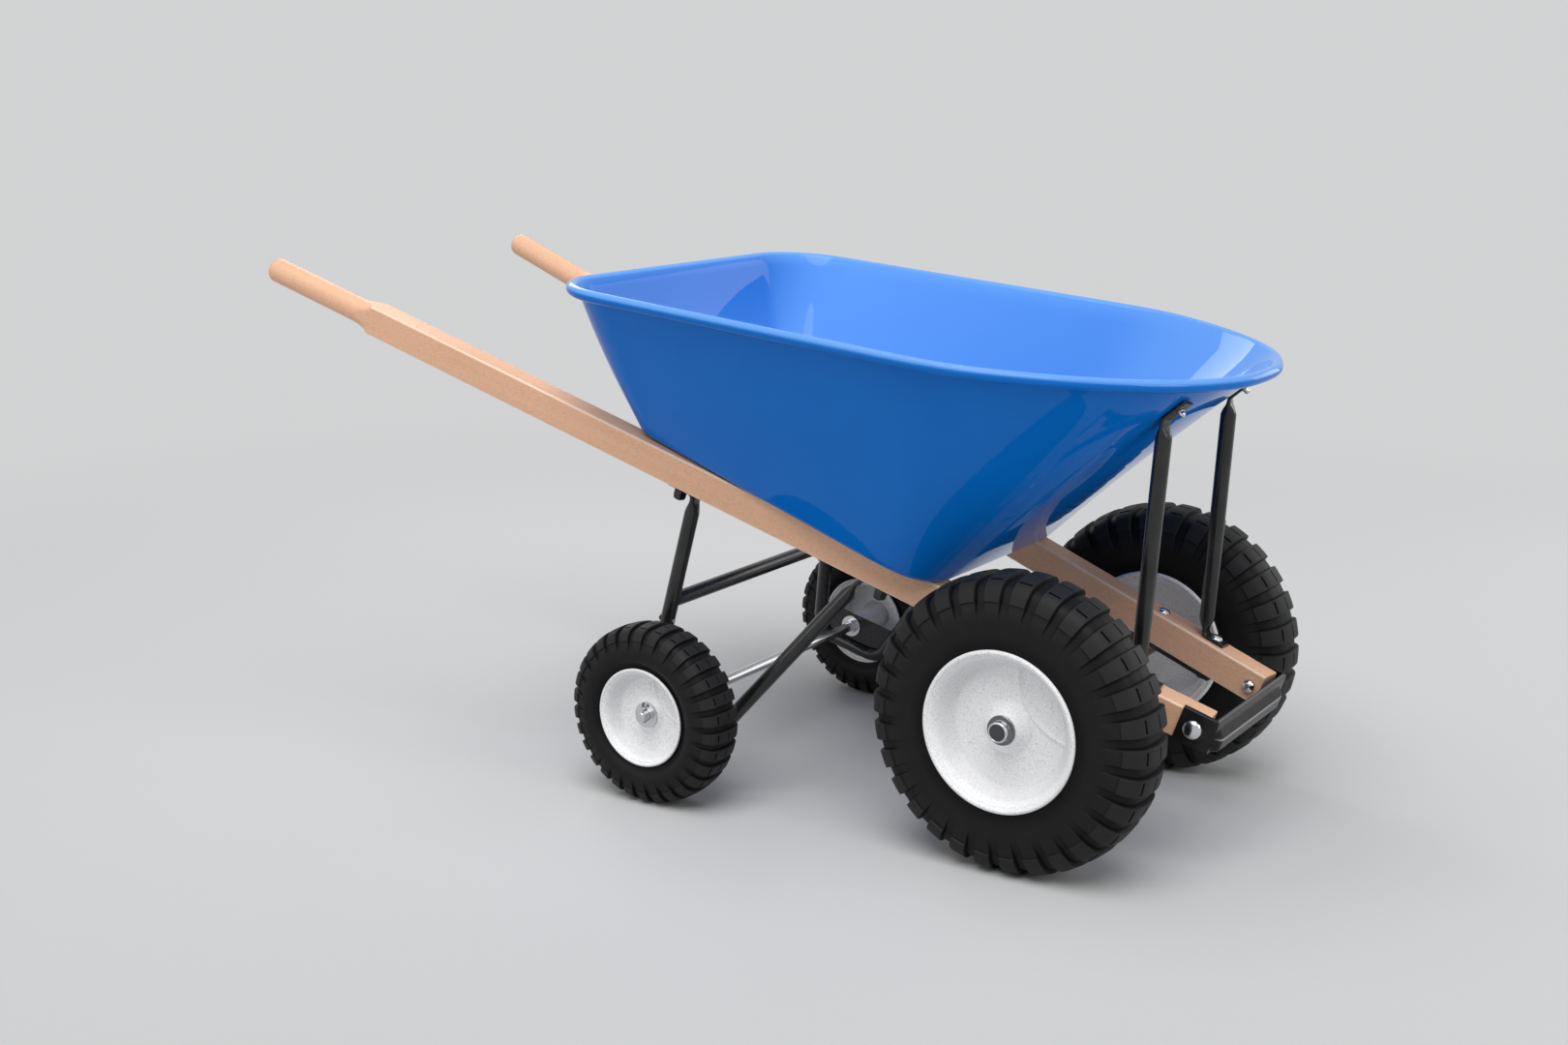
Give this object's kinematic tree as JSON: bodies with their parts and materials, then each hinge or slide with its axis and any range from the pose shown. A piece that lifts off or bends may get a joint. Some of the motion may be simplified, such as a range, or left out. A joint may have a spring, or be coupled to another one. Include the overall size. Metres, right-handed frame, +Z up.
{
  "type": "four-wheel wheelbarrow",
  "caption": "Wheelbarrow with a rolled-rim tray on long wooden handles, large wheels in front and small wheels behind that all spin on their axles.",
  "frame": {"origin": "on the floor, below the middle of the whole length", "axes": "+X forward towards the nose guard, +Y to the left, +Z up"},
  "size_m": [1.5444, 0.6944, 0.741],
  "materials": {
    "handle_wood": "satin clear varnish",
    "tray_blue_paint": "gloss paint",
    "black_powder_coat": "satin black coat",
    "rim_speckled_coat": "pale speckled coat",
    "tyre_rubber": "matt rubber",
    "bright_zinc_steel": "bright plated steel",
    "dark_nut_steel": "dark plated steel",
    "bushing_nylon": "plain"
  },
  "bodies": {
    "frame": {"tray": "tray_blue_paint", "nose_guard": "black_powder_coat", "cross_brace": "black_powder_coat", "front_axle": "bright_zinc_steel", "rear_axle": "bright_zinc_steel", "handle_left": "handle_wood", "front_strut_left": "black_powder_coat", "rear_leg_left": "black_powder_coat", "axle_gusset_left": "black_powder_coat", "axle_bracket_left": "black_powder_coat", "front_axle_cap_left": "bright_zinc_steel", "rear_axle_collar_left": "bright_zinc_steel", "rear_axle_washer_left": "bright_zinc_steel", "cotter_pin_left": "bright_zinc_steel", "tray_rear_bolt_left": "bright_zinc_steel", "tray_front_bolt_left": "bright_zinc_steel", "bracket_bolt_left": "bright_zinc_steel", "strut_foot_bolt_left": "bright_zinc_steel", "nose_bolt_left": "bright_zinc_steel", "nose_nut_left": "bright_zinc_steel", "leg_bolt_left": "bright_zinc_steel", "strut_rivet_left": "bright_zinc_steel", "tray_rear_nut_left": "dark_nut_steel", "tray_front_nut_left": "dark_nut_steel", "bracket_nut_left": "dark_nut_steel", "strut_foot_nut_left": "dark_nut_steel", "handle_right": "handle_wood", "front_strut_right": "black_powder_coat", "rear_leg_right": "black_powder_coat", "axle_gusset_right": "black_powder_coat", "axle_bracket_right": "black_powder_coat", "front_axle_cap_right": "bright_zinc_steel", "rear_axle_collar_right": "bright_zinc_steel", "rear_axle_washer_right": "bright_zinc_steel", "cotter_pin_right": "bright_zinc_steel", "tray_rear_bolt_right": "bright_zinc_steel", "tray_front_bolt_right": "bright_zinc_steel", "bracket_bolt_right": "bright_zinc_steel", "strut_foot_bolt_right": "bright_zinc_steel", "nose_bolt_right": "bright_zinc_steel", "nose_nut_right": "bright_zinc_steel", "leg_bolt_right": "bright_zinc_steel", "strut_rivet_right": "bright_zinc_steel", "tray_rear_nut_right": "dark_nut_steel", "tray_front_nut_right": "dark_nut_steel", "bracket_nut_right": "dark_nut_steel", "strut_foot_nut_right": "dark_nut_steel"},
    "front_wheel_left": {"front_tyre_left": "tyre_rubber", "front_rim_left": "rim_speckled_coat", "front_bushing_left": "bushing_nylon"},
    "rear_wheel_left": {"rear_tyre_left": "tyre_rubber", "rear_rim_left": "rim_speckled_coat", "rear_bushing_left": "bushing_nylon"},
    "front_wheel_right": {"front_tyre_right": "tyre_rubber", "front_rim_right": "rim_speckled_coat", "front_bushing_right": "bushing_nylon"},
    "rear_wheel_right": {"rear_tyre_right": "tyre_rubber", "rear_rim_right": "rim_speckled_coat", "rear_bushing_right": "bushing_nylon"}
  },
  "joints": [
    {"name": "front_left_wheel_spin", "type": "hinge", "parent": "frame", "child": "front_wheel_left", "pos_m": [0.54008, 0.2427, 0.2025], "axis": [0, 1, 0], "continuous": true},
    {"name": "front_right_wheel_spin", "type": "hinge", "parent": "frame", "child": "front_wheel_right", "pos_m": [0.54008, -0.2427, 0.2025], "axis": [0, 1, 0], "continuous": true},
    {"name": "rear_left_wheel_spin", "type": "hinge", "parent": "frame", "child": "rear_wheel_left", "pos_m": [-0.00662, 0.305, 0.1318], "axis": [0, 1, 0], "continuous": true},
    {"name": "rear_right_wheel_spin", "type": "hinge", "parent": "frame", "child": "rear_wheel_right", "pos_m": [-0.00662, -0.305, 0.1318], "axis": [0, 1, 0], "continuous": true}
  ]
}
